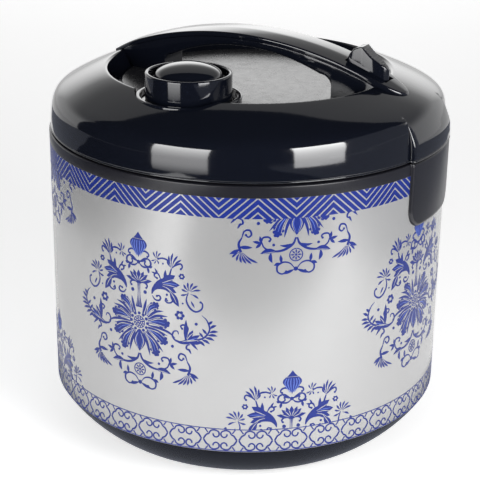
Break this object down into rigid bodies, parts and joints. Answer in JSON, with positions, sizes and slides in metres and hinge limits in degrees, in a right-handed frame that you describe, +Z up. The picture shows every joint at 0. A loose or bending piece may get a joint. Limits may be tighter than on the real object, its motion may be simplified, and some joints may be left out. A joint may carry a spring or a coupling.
{
  "type": "rice cooker",
  "caption": "Round electric rice cooker: printed steel drum, black hinged dome lid with arched handle, release trigger and lift-out steam vent, inner pot, heater and cook lever.",
  "frame": {"origin": "on the floor under the pot's axis, midway between the front latch tab and the rear hinge tab", "axes": "+Z up along the pot's axis, -Y towards the latch and trigger, +X towards the control panel"},
  "size_m": [0.272, 0.2765, 0.283],
  "materials": {
    "printed_steel": "satin silver with a blue printed pattern",
    "black_gloss": "high gloss",
    "black_satin": "fine satin",
    "pad_grey": "ribbed matt grey",
    "rubber_black": "matt",
    "seal_grey": "soft silicone",
    "steel": "plain",
    "bright_sheet": "pressed sheet",
    "pot_coating": "dark coated inside",
    "cast_plate": "as cast, machined top",
    "ferrite_dark": "sintered",
    "plated_pin": "plated",
    "heater_sleeve": "woven glass sleeve",
    "board_tan": "laminate",
    "lens_red": "tinted",
    "lens_amber": "tinted",
    "lamp_clear": "clear"
  },
  "bodies": {
    "body": {"outer_shell": "printed_steel", "rim_ring": "black_gloss", "base_housing": "black_gloss", "bottom_cover": "steel", "rubber_feet": "rubber_black", "base_screws": "steel", "inner_liner": "bright_sheet", "support_posts": "steel", "heating_plate": "cast_plate", "heater_spacers": "steel", "heater_terminals": "plated_pin", "thermal_fuse": "lamp_clear", "keep_warm_band": "heater_sleeve", "thermostat_bracket": "steel", "thermostat_spring": "steel", "control_panel": "black_satin", "cook_lens": "lens_red", "warm_lens": "lens_amber", "lamp_board": "board_tan", "indicator_lamps": "lamp_clear", "lever_bracket": "steel", "microswitch": "black_satin", "power_inlet": "black_satin", "inlet_pins": "plated_pin", "latch_keeper": "steel", "hinge_pin": "steel"},
    "inner_pot": {"inner_pot": "pot_coating"},
    "thermostat": {"thermostat_cap": "bright_sheet", "thermostat_ferrite": "ferrite_dark"},
    "cook_lever": {"cook_lever": "steel", "lever_knob": "black_satin"},
    "magnet": {"lower_magnet": "ferrite_dark", "magnet_rod": "steel"},
    "switch_plunger": {"switch_plunger": "pad_grey"},
    "lid": {"lid_cover": "black_gloss", "dish_plate": "black_gloss", "lid_liner": "black_satin", "inner_lid_plate": "bright_sheet", "lid_gasket": "seal_grey", "plate_knob": "seal_grey", "lid_hinge_bracket": "black_satin", "handle_base": "black_gloss", "handle_cap": "black_gloss", "handle_screws": "steel", "vent_cup": "black_gloss", "vent_seal": "seal_grey", "latch_pin": "steel", "latch_spring": "steel"},
    "vent_cap": {"vent_ring": "black_gloss", "vent_dome": "black_gloss"},
    "release_button": {"release_button": "black_gloss", "trigger_pad": "pad_grey"},
    "latch_hook": {"latch_hook": "black_satin"}
  },
  "joints": [
    {"name": "pot_turn", "type": "hinge", "parent": "body", "child": "inner_pot", "pos_m": [0, 0, 0.0623], "axis": [0, 0, 1], "range_deg": [-30, 30]},
    {"name": "thermostat_press", "type": "slide", "parent": "body", "child": "thermostat", "axis": [0, 0, 1], "range_m": [-0.003, 0], "stiffness_N_per_m": 300, "springref_m": 0.002, "deforming": ["thermostat_spring"]},
    {"name": "cook_lever_tilt", "type": "hinge", "parent": "body", "child": "cook_lever", "pos_m": [0.075, 0, 0.03], "axis": [0, 1, 0], "range_deg": [0, 4.6]},
    {"name": "magnet_lift", "type": "slide", "parent": "body", "child": "magnet", "axis": [0, 0, 1], "range_m": [0, 0.00603]},
    {"name": "plunger_lift", "type": "slide", "parent": "body", "child": "switch_plunger", "axis": [0, 0, 1], "range_m": [0, 0.00285]},
    {"name": "lid_hinge", "type": "hinge", "parent": "body", "child": "lid", "pos_m": [0, 0.133, 0.211], "axis": [-1, 0, 0], "range_deg": [0, 85]},
    {"name": "vent_lift", "type": "slide", "parent": "lid", "child": "vent_cap", "axis": [0, 0, 1], "range_m": [0, 0.03]},
    {"name": "release_press", "type": "slide", "parent": "lid", "child": "release_button", "axis": [0, 0, -1], "range_m": [0, 0.004], "stiffness_N_per_m": 500, "springref_m": -0.002, "deforming": ["latch_spring"]},
    {"name": "latch_tilt", "type": "hinge", "parent": "lid", "child": "latch_hook", "pos_m": [0, -0.1295, 0.229], "axis": [-1, 0, 0], "range_deg": [0, 6.5]}
  ],
  "couplings": [
    {"joint": "magnet_lift", "follows": "cook_lever_tilt", "m_per_rad": 0.075},
    {"joint": "plunger_lift", "follows": "cook_lever_tilt", "m_per_rad": 0.035},
    {"joint": "latch_tilt", "follows": "release_press", "rad_per_m": 28}
  ]
}
